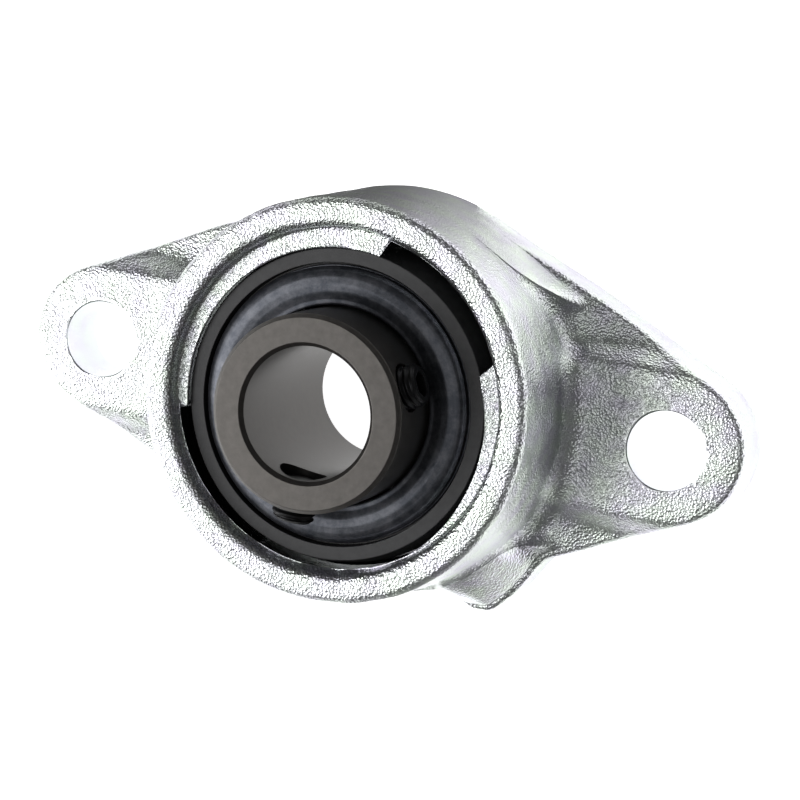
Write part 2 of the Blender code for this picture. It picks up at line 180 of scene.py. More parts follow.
def housing_profiles(turn):
    """Closed profiles (r, z) of the casting, one per turn: back face, foot, side, rounded edge, flange top,
    fillet, cup, rim, wall, ledge or slot, seat and rear bore. Returns for each row its r and z, how rough
    cast it is and how far it follows the cast rim's shift off the axis."""
    parts = []

    def add(rows, r, z, rough, shift):
        still = 0.0 * turn + 0.0 * rows
        parts.append((r + still, z + still, rough + still, shift + still))

    top_draft = CUP_DRAFT * WEB_EDGE_H / RIM_H
    room = np.clip(outline(turn, top_draft) - cup_side(WEB_EDGE_H), 0.0, None)
    edge = np.minimum(EDGE_R, EDGE_SHARE * room)
    shoulder = outline(turn, top_draft + edge)
    shoulder_h = flange_top(turn, shoulder)
    rise = FLANK_RISE * (1.0 - ease(room / FLANGE_ROOM))
    fillet = np.minimum(FILLET, FILLET_SHARE * (room - edge))
    fillet_h = flange_top(turn, cup_side(WEB_EDGE_H) + fillet) + rise
    foot_of_fillet = cup_side(fillet_h) + fillet
    flank_h = fillet_h + FILLET
    reach, ridge, hold = boss_profile(turn)
    ridge_r = cup_side(ridge) + BOSS_PROUD
    rim_start = RIM_H - RIM_OUTER_R

    def merge(own, other):
        return own + (other - own) * hold

    def lean(z):
        return np.clip((z - SHIFT_START) / (rim_start - SHIFT_START), 0.0, 1.0)

    t = share(8)
    end = merge(outline(turn, FOOT_R), reach - FOOT_R)
    add(t, REAR_BORE_R + REAR_CHAMFER + (end - REAR_BORE_R - REAR_CHAMFER) * t, 0.0, 0.0, 0.0)
    t = share(4) * np.pi / 2
    inset = FOOT_R * (1 - np.sin(t))
    add(t, merge(outline(turn, inset), reach - inset), FOOT_R * (1 - np.cos(t)), 0.3, 0.0)
    t = share(9)
    wall_h = merge(shoulder_h - EDGE_R, BOSS_SIDE_H)
    z = FOOT_R + (wall_h - FOOT_R) * t
    add(t, merge(outline(turn, top_draft * t), reach), z, 1.0, lean(z))
    t = share(9) * np.pi / 2
    corner_r, corner_z = reach - BOSS_EDGE_R * (1 - np.cos(t)), BOSS_SIDE_H + BOSS_EDGE_R * np.sin(t)
    z = merge(shoulder_h - EDGE_R * (1 - np.sin(t)), corner_z)
    add(t, merge(outline(turn, top_draft + edge * (1 - np.cos(t))), corner_r), z, 1.0, lean(z))
    t = share(34)
    r = shoulder + (foot_of_fillet - shoulder) * t
    climb = rise * (t + (ease(t) - t) * ease(room / FLANGE_ROOM))
    facet = BOSS_SIDE_H + BOSS_EDGE_R + (ridge - BOSS_SIDE_H - BOSS_EDGE_R) * t
    top_h = merge(flange_top(turn, r) + climb, facet)
    add(t, merge(r, reach - BOSS_EDGE_R + (ridge_r - reach + BOSS_EDGE_R) * t),
        top_h, 1.0 - 0.6 * hold, lean(top_h))
    t = share(12) * np.pi / 2
    z = flank_h - FILLET * np.cos(t)
    over_r = ridge_r - (ridge_r - cup_side(ridge + BOSS_CROWN)) * np.sin(t) ** 2
    over_z = merge(z, ridge + BOSS_CROWN * (1 - np.cos(t)))
    add(t, merge(cup_side(z) + fillet * (1 - np.sin(t)), over_r), over_z, 1.0, lean(over_z))
    t = share(24)
    start = merge(flank_h, ridge + BOSS_CROWN)
    z = start + (rim_start - start) * t
    add(t, cup_side(z), z, 1.0, lean(z))
    t = share(9) * np.pi / 2
    crown_r = cup_side(rim_start) - RIM_OUTER_R
    add(t, crown_r + RIM_OUTER_R * np.cos(t), rim_start + RIM_OUTER_R * np.sin(t), 1.0, 1.0)
    t = share(3)
    add(t, crown_r + (RIM_WALL_R + RIM_INNER_R - crown_r) * t, RIM_H, 1.0, 1.0)
    t = share(7) * np.pi / 2
    add(t, RIM_WALL_R + RIM_INNER_R * (1 - np.sin(t)), RIM_H - RIM_INNER_R * (1 - np.cos(t)), 1.0, 1.0)

    degrees = np.degrees(turn) % 360.0
    open_slot = sum(
        ease((degrees - start) / SLOT_END_WIDTH + 0.5) * ease((end - degrees) / SLOT_END_WIDTH + 0.5)
        for start, end in SLOT_ENDS)
    open_slot = np.maximum(open_slot, np.interp(degrees, MOUTH_SWING, MOUTH_OPEN))
    follow = ease((RIM_SHIFT[0] * np.cos(turn) + RIM_SHIFT[1] * np.sin(turn)) / SHIFT_FADE)

    def unless_slot(ledge, slot):
        return ledge + (slot - ledge) * open_slot

    wall_end = RIM_H - RIM_INNER_R
    t = share(5)
    add(t, RIM_WALL_R - 0.3 * open_slot * t, wall_end + (LEDGE_Z + LEDGE_CORNER_R - wall_end) * t, 1.0, 1.0)
    t = share(3)
    ledge_r = RIM_WALL_R - LEDGE_CORNER_R * (1 - np.cos(t * np.pi / 2))
    ledge_z = LEDGE_Z + LEDGE_CORNER_R * (1 - np.sin(t * np.pi / 2))
    add(t, unless_slot(ledge_r, RIM_WALL_R - 0.3 - 0.1 * t),
        unless_slot(ledge_z, LEDGE_Z + LEDGE_CORNER_R - 0.25 * t), 1.0, 1.0)
    seat_top = LEDGE_Z - LEDGE_EDGE_R
    ledge_in = np.sqrt(SEAT_R ** 2 - (seat_top - SEAT_Z) ** 2) + LEDGE_EDGE_R
    t = share(6)
    add(t, unless_slot(RIM_WALL_R - LEDGE_CORNER_R + (ledge_in - RIM_WALL_R + LEDGE_CORNER_R) * t,
                       SLOT_R + 0.1 * (1 - t)),
        unless_slot(LEDGE_Z, LEDGE_Z + 0.25 - (0.25 + LEDGE_EDGE_R) * t), 1.0, unless_slot(1 - t, follow))
    t = share(4)
    add(t, unless_slot(ledge_in - LEDGE_EDGE_R * np.sin(t * np.pi / 2), SLOT_R),
        unless_slot(seat_top + LEDGE_EDGE_R * np.cos(t * np.pi / 2), seat_top), 0.4, unless_slot(0.0, follow))
    t = share(7)
    z = seat_top + (SEAT_Z - seat_top) * t
    seat = np.sqrt(SEAT_R ** 2 - (z - SEAT_Z) ** 2)
    add(t, unless_slot(seat, SLOT_R), z, 0.0, unless_slot(0.0, follow * (1 - t)))
    seat_end = np.sqrt(SEAT_R ** 2 - REAR_BORE_R ** 2)
    z = SEAT_Z - seat_end * share(8)
    add(z, np.sqrt(SEAT_R ** 2 - (z - SEAT_Z) ** 2), z, 0.0, 0.0)
    t = share(4)
    bore_top = SEAT_Z - seat_end
    add(t, REAR_BORE_R, bore_top + (REAR_CHAMFER - bore_top) * t, 0.0, 0.0)
    add(share(1), REAR_BORE_R + REAR_CHAMFER, 0.0, 0.0, 0.0)
    return tuple(np.concatenate(column) for column in zip(*parts))


def crowded_turns(count):
    """Turns round the axis, closer together where the oval's edge runs fast, at the slots' ends and at the
    boss."""
    fine = np.radians(np.linspace(0.0, 360.0, 7201))
    edge = outline(fine, 0.0)
    density = 0.7 + np.hypot(edge, np.gradient(edge, fine)) / edge.mean()
    crowds = [(angle, 1.5, 2.0) for ends in SLOT_ENDS for angle in ends]
    crowds += [(BOSS_SWING[1], 5.0, 3.5), (BOSS_SWING[-2], 3.0, 2.5)]
    for angle, extra, width in crowds:
        away = np.degrees(np.arctan2(np.sin(fine - np.radians(angle)), np.cos(fine - np.radians(angle))))
        density = density + extra * np.exp(-(away / width) ** 2)
    total = np.concatenate(([0.0], np.cumsum((density[1:] + density[:-1]) / 2)))
    return np.interp(np.arange(count) / count * total[-1], total, fine)


def lumps(points, size, seed):
    """Smooth unevenness of about this size in millimetres: many sine waves in fixed directions, added up."""
    waves = 30
    draw = np.random.default_rng(seed)
    heading = draw.normal(size=(3, waves))
    heading /= np.linalg.norm(heading, axis=0)
    heading *= 2 * np.pi / (size * draw.uniform(0.7, 1.6, waves))
    return np.sin(points @ heading + draw.uniform(0, 2 * np.pi, waves)).sum(-1) / np.sqrt(waves / 2)


def outward(points):
    """Unit normals of a grid that is closed both ways, from the differences between neighbours."""
    along = np.roll(points, -1, 0) - np.roll(points, 1, 0)
    round_axis = np.roll(points, -1, 1) - np.roll(points, 1, 1)
    normal = np.cross(round_axis, along)
    return normal / np.maximum(np.linalg.norm(normal, axis=2, keepdims=True), 1e-9)


def skin(name, points, poles=None):
    """A closed mesh over a grid of points in millimetres. Columns run round and join up. Rows join up too,
    unless two pole points are given, which close the first and last rows with fans."""
    rows, columns = points.shape[:2]
    index = np.arange(rows * columns).reshape(rows, columns)
    after = np.roll(index, -1, 1)
    if poles is None:
        index_up, after_up = np.roll(index, -1, 0), np.roll(after, -1, 0)
        faces = np.stack((index, after, after_up, index_up), -1).reshape(-1, 4).tolist()
        corners = points.reshape(-1, 3)
    else:
        faces = np.stack((index[:-1], after[:-1], after[1:], index[1:]), -1).reshape(-1, 4).tolist()
        low = np.full(columns, rows * columns)
        faces += np.stack((low, after[0], index[0]), -1).tolist()
        faces += np.stack((low + 1, index[-1], after[-1]), -1).tolist()
        corners = np.concatenate((points.reshape(-1, 3), np.asarray(poles, float)))
    mesh = bpy.data.meshes.new(name)
    mesh.from_pydata((corners * MM).tolist(), [], faces)
    mesh.validate()
    face_out = np.empty(len(mesh.polygons) * 3)
    mesh.polygons.foreach_get("normal", face_out)
    centre = np.empty(len(mesh.polygons) * 3)
    mesh.polygons.foreach_get("center", centre)
    area = np.empty(len(mesh.polygons))
    mesh.polygons.foreach_get("area", area)
    if ((face_out * centre).reshape(-1, 3).sum(1) * area).sum() < 0:
        mesh.flip_normals()
    mesh.shade_smooth()
    mesh.set_sharp_from_angle(angle=CREASE)
    made = bpy.data.objects.new(name, mesh)
    bpy.context.collection.objects.link(made)
    return made


def cut(piece, *tools):
    """Takes the tools' solids out of the piece and removes the tools."""
    for tool in tools:
        change = piece.modifiers.new(tool.name, "BOOLEAN")
        change.object = tool
        change.operation = "DIFFERENCE"
        change.solver = "EXACT"
    finished = bpy.data.meshes.new_from_object(piece.evaluated_get(bpy.context.evaluated_depsgraph_get()))
    piece.modifiers.clear()
    finished.shade_smooth()
    finished.set_sharp_from_angle(angle=CREASE)
    rough, piece.data = piece.data, finished
    bpy.data.meshes.remove(rough)
    finished.name = piece.name
    for tool in tools:
        bpy.data.meshes.remove(tool.data)
    return piece


def lathe(name, profile, columns, poles=None):
    """Turns a profile of (r, z) rows in millimetres round the shaft axis."""
    turn = np.arange(columns) / columns * 2 * np.pi
    r, z = np.asarray(profile, float).T[:, :, None]
    points = np.stack(np.broadcast_arrays(r * np.cos(turn), r * np.sin(turn), z + 0 * turn), -1)
    return skin(name, points, poles)


LUMP_H, LUMP_SIZE = 0.04, 5.0
GRAIN_H, GRAIN_SIZE = 0.008, 1.8
CAST_SKIN = 0.06           # how far the cast skin is set in, so that its lumps stay near the true surface
turn = crowded_turns(HOUSING_COLUMNS)
r, z, rough, shift = housing_profiles(turn)
cast = np.stack((r * np.cos(turn) + RIM_SHIFT[0] * shift, r * np.sin(turn) + RIM_SHIFT[1] * shift, z), -1)
unevenness = LUMP_H * lumps(cast, LUMP_SIZE, 3) + GRAIN_H * lumps(cast, GRAIN_SIZE, 4)
cast = cast + outward(cast) * (rough * (unevenness - CAST_SKIN))[:, :, None]
casting = skin("housing_casting", cast)
casting.data.attributes.new("rough_cast", "FLOAT", "POINT").data.foreach_set("value", rough.ravel())

HOLE_R = 5.75
HOLE_EDGE_R = 0.3
HOLE_FLARE = 0.7           # how far the hole opens out at the back face
HOLE_FLARE_H = 0.5
TOOL_PAST = 2.0            # how far the drill runs past both faces
hole_tools = []
for side in (-1, 1):
    t = share(8)[:, 0] * np.pi / 2
    flare = [(HOLE_R + HOLE_FLARE, -TOOL_PAST), (HOLE_R + HOLE_FLARE, 0.0), (HOLE_R, HOLE_FLARE_H),
             (HOLE_R, PAD_H - HOLE_EDGE_R)]
    flare += list(zip(HOLE_R + HOLE_EDGE_R * (1 - np.cos(t)), PAD_H + HOLE_EDGE_R * (np.sin(t) - 1)))
    flare += [(HOLE_R + 2 * HOLE_EDGE_R, PAD_H + TOOL_PAST)]
    tool = lathe("hole_tool", flare, 96, poles=((0, 0, -TOOL_PAST), (0, 0, PAD_H + TOOL_PAST)))
    tool.data.transform(Matrix.Translation((side * BOLT_X * MM, 0, 0)))
    hole_tools.append(tool)
cut(casting, *hole_tools)


def nodes_of(name):
    """A new material with its node tree and its shader."""
    material = bpy.data.materials.new(name)
    material.use_nodes = True
    return material, material.node_tree, material.node_tree.nodes["Principled BSDF"]


def add_node(tree, kind, links=(), **settings):
    """One node: settings are its properties or its sockets' values, and links feed its sockets by name."""
    made = tree.nodes.new("ShaderNode" + kind)
    for key, value in settings.items():
        socket = made.inputs.get(key.replace("_", " ").title())
        if hasattr(made, key):
            setattr(made, key, value)
        else:
            socket.default_value = value
    for socket, source in dict(links).items():
        tree.links.new(source, made.inputs[socket])
    return made


def zinc_on_casting():
    """Bright zinc over rough-cast iron: fine grains and pits, faint green and violet in the plating, and
    smooth bright metal wherever the casting was bored, drilled or faced."""
    material, tree, shader = nodes_of("zinc_housing")
    place = add_node(tree, "TexCoord").outputs["Object"]
    rough_cast = add_node(tree, "Attribute", attribute_name="rough_cast").outputs["Fac"]
    grain = add_node(tree, "TexNoise", {"Vector": place}, scale=2300.0, detail=2.5, roughness=0.55)
    pits = add_node(tree, "TexVoronoi", {"Vector": place}, scale=3000.0)
    tint = add_node(tree, "TexNoise", {"Vector": place}, scale=260.0, detail=4.0)
    ramp = add_node(tree, "ValToRGB", {"Fac": tint.outputs["Fac"]})
    ramp.color_ramp.elements[0].position = 0.35
    ramp.color_ramp.elements[0].color = (0.66, 0.65, 0.72, 1)
    ramp.color_ramp.elements[1].position = 0.65
    ramp.color_ramp.elements[1].color = (0.70, 0.76, 0.70, 1)
    tree.links.new(ramp.outputs["Color"], shader.inputs["Base Color"])
    height = add_node(tree, "Math", {0: grain.outputs["Fac"], 1: pits.outputs["Distance"]}, operation="ADD")
    bump = add_node(tree, "Bump", {"Height": height.outputs[0], "Strength": rough_cast}, distance=0.00010)
    tree.links.new(bump.outputs["Normal"], shader.inputs["Normal"])
    gloss = add_node(tree, "MapRange", {"Value": rough_cast}, to_min=0.2, to_max=0.3)
    tree.links.new(gloss.outputs["Result"], shader.inputs["Roughness"])
    shader.inputs["Metallic"].default_value = 1.0
    return material


casting.data.materials.clear()
casting.data.materials.append(zinc_on_casting())
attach(casting, "housing")
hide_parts("housing")


# Outer ring: bearing steel, turned, hardened and ground, then blackened. Its ball-shaped outside turns in
# the housing's seat, its raceway carries the balls and a recess at each face holds a pressed-in shield.
RING_COLUMNS = 256
OUTER_SPHERE_R = 23.5
OUTER_RACE_R = 20.919
LAND_R = 19.419
FACE_BORE_R = 20.4
HALF_WIDTH = 7.0
RECESS_Z = 5.2
RACEWAY_R = 4.247


def arc(centre_r, centre_z, radius, start, end, count):
    """Points (r, z) along an arc between two angles in degrees."""
    angle = np.radians(np.linspace(start, end, count))
    return np.stack((centre_r + radius * np.cos(angle), centre_z + radius * np.sin(angle)), -1)


def section(*items, radius=0.12):
    """A closed outline (r, z). Arrays of points are kept as they are. Single points are corners, and each
    becomes a short curve with a close row on either side."""
    items = [np.atleast_2d(np.asarray(item, float)) for item in items]
    t = np.linspace(0, 1, 5)[:, None]
    rows = []
    for before, item, after in zip(items[-1:] + items[:-1], items, items[1:] + items[:1]):
        if len(item) > 1:
            rows.append(item)
            continue
        at, back, on = item[0], before[-1] - item[0], after[0] - item[0]
        back, on = back / np.hypot(*back), on / np.hypot(*on)
        curve = at + radius * ((1 - t) ** 2 * back + t ** 2 * on)
        rows.append(np.concatenate(([at + 1.4 * radius * back], curve, [at + 1.4 * radius * on])))
    return np.concatenate(rows)


def raceway(centre_r, land_r, middle):
    """Corner, groove and corner of a raceway, going down; middle is the groove's direction in degrees."""
    half = np.sqrt(RACEWAY_R ** 2 - (land_r - centre_r) ** 2)
    edge = np.degrees(np.arcsin(half / RACEWAY_R)) - 3.0
    swing = edge if middle == 0.0 else -edge
    return (land_r, half), arc(centre_r, 0.0, RACEWAY_R, middle + swing, middle - swing, 24), (land_r, -half)


def dark_steel(name, tone, roughness, marks):
    """Blackened steel: fine turning marks that follow the radius and the height, and faint clouds in the
    black finish."""
    material, tree, shader = nodes_of(name)
    place = add_node(tree, "TexCoord").outputs["Object"]
    flat = add_node(tree, "VectorMath", {0: place}, operation="MULTIPLY")
    flat.inputs[1].default_value = (1, 1, 0)
    reach = add_node(tree, "VectorMath", {0: flat.outputs[0]}, operation="LENGTH").outputs["Value"]
    height = add_node(tree, "SeparateXYZ", {"Vector": place}).outputs["Z"]
    run = add_node(tree, "Math", {0: reach, 1: height}, operation="ADD").outputs[0]
    lines = add_node(tree, "TexNoise", {"W": run}, noise_dimensions="1D", scale=9000.0, detail=3.0)
    clouds = add_node(tree, "TexNoise", {"Vector": place}, scale=700.0, detail=6.0, roughness=0.65)
    ramp = add_node(tree, "ValToRGB", {"Fac": clouds.outputs["Fac"]})
    ramp.color_ramp.elements[0].position = 0.3
    ramp.color_ramp.elements[0].color = (*(0.82 * part for part in tone), 1)
    ramp.color_ramp.elements[1].position = 0.7
    ramp.color_ramp.elements[1].color = (*(1.15 * part for part in tone), 1)
    tree.links.new(ramp.outputs["Color"], shader.inputs["Base Color"])
    bump = add_node(tree, "Bump", {"Height": lines.outputs["Fac"]}, strength=marks, distance=0.00001)
    tree.links.new(bump.outputs["Normal"], shader.inputs["Normal"])
    gloss = add_node(tree, "MapRange", {"Value": clouds.outputs["Fac"]},
                     to_min=roughness - 0.06, to_max=roughness + 0.08)
    tree.links.new(gloss.outputs["Result"], shader.inputs["Roughness"])
    shader.inputs["Metallic"].default_value = 0.8
    return material


def dress(piece, body, node, material):
    """Gives a finished piece its material and its place in the frame."""
    piece.data.materials.clear()
    piece.data.materials.append(material)
    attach(piece, body)
    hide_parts(node)


sphere_edge_r = np.sqrt(OUTER_SPHERE_R ** 2 - HALF_WIDTH ** 2)
outer_profile = section(
    arc(0.0, 0.0, OUTER_SPHERE_R, -16.6, 16.6, 30), (sphere_edge_r, HALF_WIDTH), (FACE_BORE_R, HALF_WIDTH),
    (FACE_BORE_R, RECESS_Z), (LAND_R, RECESS_Z), *raceway(OUTER_RACE_R - RACEWAY_R, LAND_R, 0.0),
    (LAND_R, -RECESS_Z), (FACE_BORE_R, -RECESS_Z), (FACE_BORE_R, -HALF_WIDTH), (sphere_edge_r, -HALF_WIDTH))
outer = lathe("outer_ring_ground", outer_profile + (0.0, SEAT_Z), RING_COLUMNS)
ring_black = dark_steel("outer_ring_black", (0.046, 0.046, 0.047), 0.5, 0.3)
dress(outer, "outer_ring", "outer_ring", ring_black)


# Inner ring: a long sleeve of bearing steel, bored for the shaft, with bevelled ends and one raceway. Two
# radial holes near its front face are drilled and tapped for the set screws that grip the shaft.
INNER_R = 14.1
INNER_RACE_R = 12.581
SHAFT_R = 9.525
INNER_FRONT = 18.3
INNER_REAR = 12.7
BEVEL = 0.55
SCREW_Z = 32.5
SCREW_SWINGS = {"set_screw_a": 24.0, "set_screw_b": -96.0}
SCREW_HOLE_R = 3.4
SCREW_HOLE_FROM, SCREW_HOLE_TO = 6.0, 16.0   # along the radius, past the ring's wall on both sides


def lay_on_radius(piece, swing):
    """Turns a piece that was made along Z so that it lies along a radius at the set screws' height."""
    piece.data.transform(Matrix.Translation((0, 0, SCREW_Z * MM)) @ Matrix.Rotation(np.radians(swing), 4, "Z")
                         @ Matrix.Rotation(np.pi / 2, 4, "Y"))


inner_profile = section(
    (SHAFT_R, -INNER_REAR + BEVEL), (SHAFT_R + BEVEL, -INNER_REAR), (INNER_R - BEVEL, -INNER_REAR),
    (INNER_R, -INNER_REAR + BEVEL), *raceway(INNER_RACE_R + RACEWAY_R, INNER_R, 180.0)[::-1],
    (INNER_R, INNER_FRONT - BEVEL), (INNER_R - BEVEL, INNER_FRONT), (SHAFT_R + BEVEL, INNER_FRONT),
    (SHAFT_R, INNER_FRONT - BEVEL), radius=0.07)
inner = lathe("inner_ring_ground", inner_profile + (0.0, SEAT_Z), RING_COLUMNS)
screw_hole = [(SCREW_HOLE_R, SCREW_HOLE_FROM), (SCREW_HOLE_R, 13.5), (SCREW_HOLE_R + 0.5, 14.2),
              (SCREW_HOLE_R + 1.0, SCREW_HOLE_TO)]
hole_tools = []
for swing in SCREW_SWINGS.values():
    tool = lathe("screw_hole_tool", screw_hole, 64, poles=((0, 0, SCREW_HOLE_FROM), (0, 0, SCREW_HOLE_TO)))
    lay_on_radius(tool, swing)
    hole_tools.append(tool)
cut(inner, *hole_tools)
sleeve_black = dark_steel("inner_ring_black", (0.080, 0.075, 0.070), 0.36, 0.35)
dress(inner, "inner_ring", "inner_ring", sleeve_black)


# Flingers and shields: four thin washers pressed from dark steel sheet. The shields are pressed into the
# outer ring's recesses. The crowned flingers sit on the inner ring outside them and turn with the shaft.
FLINGER_IN, FLINGER_OUT = 14.4, 19.9
FLINGER_T = 0.55
FLINGER_BASE = 6.3             # from the seat's centre to the flinger's underside
FLINGER_SHARE = (0.0, 0.12, 0.34, 0.55, 0.76, 0.88, 0.94, 1.0)
FLINGER_RISE = (0.6, 0.62, 0.92, 1.0, 0.84, 0.62, 0.4, 0.0)
SHIELD_IN, SHIELD_OUT = 14.6, 20.1
SHIELD_BASE = 5.5
SHIELD_T = 0.3
SHIELD_DEPTH = 0.5
SHIELD_SHARE = (0.0, 0.12, 0.2, 0.8, 0.9, 1.0)
SHIELD_RISE = (0.0, 0.0, 1.0, 1.0, 0.0, 0.0)
BEND_BLUR = 0.03


def sheet(path, thickness):
    """Closed outline of sheet metal this thick along a path of (r, z) points, with rounded edges."""
    along = np.gradient(path, axis=0)
    along /= np.hypot(*along.T)[:, None]
    side = np.stack((-along[:, 1], along[:, 0]), -1) * thickness / 2
    t = np.linspace(0, np.pi, 7)[1:-1, None]
    far = path[-1] + side[-1] * np.cos(t) + along[-1] * thickness / 2 * np.sin(t)
    near = path[0] - side[0] * np.cos(t) - along[0] * thickness / 2 * np.sin(t)
    return np.concatenate((path + side, far, (path - side)[::-1], near))


def bent(places, rises, blur):
    """Rises between the given places, with every bend spread by this share of the width."""
    t = np.linspace(0, 1, 44)
    near = np.linspace(-blur, blur, 9)
    return t, np.interp(t[:, None] + near, places, rises).mean(1)


def blue_black():
    """Dark sheet steel with a blue-black finish: soft rings left by the press and a few rubbed places."""
    material, tree, shader = nodes_of("dark_sheet")
    place = add_node(tree, "TexCoord").outputs["Object"]
    flat = add_node(tree, "VectorMath", {0: place}, operation="MULTIPLY")
    flat.inputs[1].default_value = (1, 1, 0)
    reach = add_node(tree, "VectorMath", {0: flat.outputs[0]}, operation="LENGTH").outputs["Value"]
    rings = add_node(tree, "TexNoise", {"W": reach}, noise_dimensions="1D", scale=2500.0, detail=4.0)
    rubbed = add_node(tree, "TexNoise", {"Vector": place}, scale=420.0, detail=8.0, roughness=0.75)
    ramp = add_node(tree, "ValToRGB", {"Fac": rubbed.outputs["Fac"]})
    ramp.color_ramp.elements[0].position = 0.4
    ramp.color_ramp.elements[0].color = (0.042, 0.046, 0.056, 1)
    ramp.color_ramp.elements[1].position = 0.75
    ramp.color_ramp.elements[1].color = (0.125, 0.128, 0.142, 1)
    tree.links.new(ramp.outputs["Color"], shader.inputs["Base Color"])
    bump = add_node(tree, "Bump", {"Height": rings.outputs["Fac"]}, strength=0.25, distance=0.00002)
    tree.links.new(bump.outputs["Normal"], shader.inputs["Normal"])
    gloss = add_node(tree, "MapRange", {"Value": rubbed.outputs["Fac"]}, to_min=0.24, to_max=0.42)
    tree.links.new(gloss.outputs["Result"], shader.inputs["Roughness"])
    shader.inputs["Metallic"].default_value = 0.75
    return material


sheet_black = blue_black()
t, rise = bent(FLINGER_SHARE, FLINGER_RISE, BEND_BLUR)
half = FLINGER_T / 2
flinger_path = np.stack((FLINGER_IN + half + (FLINGER_OUT - FLINGER_IN - FLINGER_T) * t,
                         FLINGER_BASE + half + rise), -1)
t, rise = bent(SHIELD_SHARE, SHIELD_RISE, BEND_BLUR)
half = SHIELD_T / 2
shield_path = np.stack((SHIELD_IN + half + (SHIELD_OUT - SHIELD_IN - SHIELD_T) * t,
                        SHIELD_BASE + half + (SHIELD_DEPTH - SHIELD_T) * rise), -1)
for place, side in (("front", 1.0), ("rear", -1.0)):
    for kind, body, path, thickness in (("flinger", "inner_ring", flinger_path, FLINGER_T),
                                        ("shield", "outer_ring", shield_path, SHIELD_T)):
        pressed = sheet(path, thickness) * (1.0, side) + (0.0, SEAT_Z)
        washer = lathe(f"{place}_{kind}_pressed", pressed, RING_COLUMNS)
        dress(washer, body, f"{place}_{kind}", sheet_black)


# Balls: eight hardened chrome-steel balls, ground and lapped to a mirror, that roll between the raceways.
BALL_R = 3.969
PITCH_R = 16.75
BALL_ROWS, BALL_COLUMNS = 32, 64


def ball(name, radius, centre):
    """A sphere: rows of circles between two poles."""
    up = np.linspace(-np.pi / 2, np.pi / 2, BALL_ROWS + 2)[1:-1, None]
    turn = np.arange(BALL_COLUMNS) / BALL_COLUMNS * 2 * np.pi
    unit = np.stack((np.cos(up) * np.cos(turn), np.cos(up) * np.sin(turn), np.sin(up) + 0 * turn), -1)
    centre = np.asarray(centre, float)
    return skin(name, centre + radius * unit, poles=(centre - (0, 0, radius), centre + (0, 0, radius)))


def ball_centre(number):
    """Where this ball's centre stands: eighths of a turn round the pitch circle, from half a step."""
    swing = 2 * np.pi * (number - 0.5) / 8
    return PITCH_R * np.cos(swing), PITCH_R * np.sin(swing), SEAT_Z


def lapped_chrome():
    """Mirror-bright chrome steel under a thin, uneven film of grease."""
    material, tree, shader = nodes_of("polished_ball")
    place = add_node(tree, "TexCoord").outputs["Object"]
    film = add_node(tree, "TexNoise", {"Vector": place}, scale=500.0, detail=4.0)
    ramp = add_node(tree, "ValToRGB", {"Fac": film.outputs["Fac"]})
    ramp.color_ramp.elements[0].color = (0.70, 0.70, 0.71, 1)
    ramp.color_ramp.elements[1].color = (0.82, 0.81, 0.79, 1)
    tree.links.new(ramp.outputs["Color"], shader.inputs["Base Color"])
    gloss = add_node(tree, "MapRange", {"Value": film.outputs["Fac"]}, to_min=0.04, to_max=0.16)
    tree.links.new(gloss.outputs["Result"], shader.inputs["Roughness"])
    shader.inputs["Metallic"].default_value = 1.0
    return material


chrome = lapped_chrome()
for number in range(1, 9):
    node = f"ball_{number}"
    dress(ball(node + "_lapped", BALL_R, ball_centre(number)), node, node, chrome)


# Cage: one ring moulded from graphite-filled polymer. It snaps over the balls from the front, and its open
# pockets keep them apart.
POCKET_R = 4.269
CAGE_IN, CAGE_OUT = 15.0, 18.5
CAGE_LOW, CAGE_TOP = 17.5, 24.07
CAGE_EDGE_R = 0.35


def graphite_filled():
    """Dull dark polymer with grey flecks of graphite and a fine moulded grain."""
    material, tree, shader = nodes_of("graphite")
    place = add_node(tree, "TexCoord").outputs["Object"]
    flecks = add_node(tree, "TexNoise", {"Vector": place}, scale=2600.0, detail=5.0, roughness=0.7)
    ramp = add_node(tree, "ValToRGB", {"Fac": flecks.outputs["Fac"]})
    ramp.color_ramp.elements[0].position = 0.45
    ramp.color_ramp.elements[0].color = (0.022, 0.022, 0.024, 1)
    ramp.color_ramp.elements[1].position = 0.7
    ramp.color_ramp.elements[1].color = (0.085, 0.085, 0.088, 1)
    tree.links.new(ramp.outputs["Color"], shader.inputs["Base Color"])
    bump = add_node(tree, "Bump", {"Height": flecks.outputs["Fac"]}, strength=0.4, distance=0.00003)
    tree.links.new(bump.outputs["Normal"], shader.inputs["Normal"])
    shader.inputs["Roughness"].default_value = 0.55
    return material


cage_profile = section((CAGE_IN, CAGE_LOW), (CAGE_OUT, CAGE_LOW), (CAGE_OUT, CAGE_TOP), (CAGE_IN, CAGE_TOP),
                       radius=CAGE_EDGE_R)
cage = lathe("cage_moulded", cage_profile, 192)
cut(cage, *[ball("pocket_tool", POCKET_R, ball_centre(number)) for number in range(1, 9)])
dress(cage, "cage", "cage", graphite_filled())


# Set screws: two short steel screws with a hexagon socket and a flat point, thread-rolled and blackened.
# They run through the inner ring and grip the shaft.
SCREW_R = 3.1
SCREW_IN, SCREW_OUT = 10.3, 16.1
THREAD_PITCH = 1.0
THREAD_DEPTH = 0.34
SCREW_BEVEL = 0.55
SOCKET_R = 1.83
SOCKET_DEPTH = 2.8


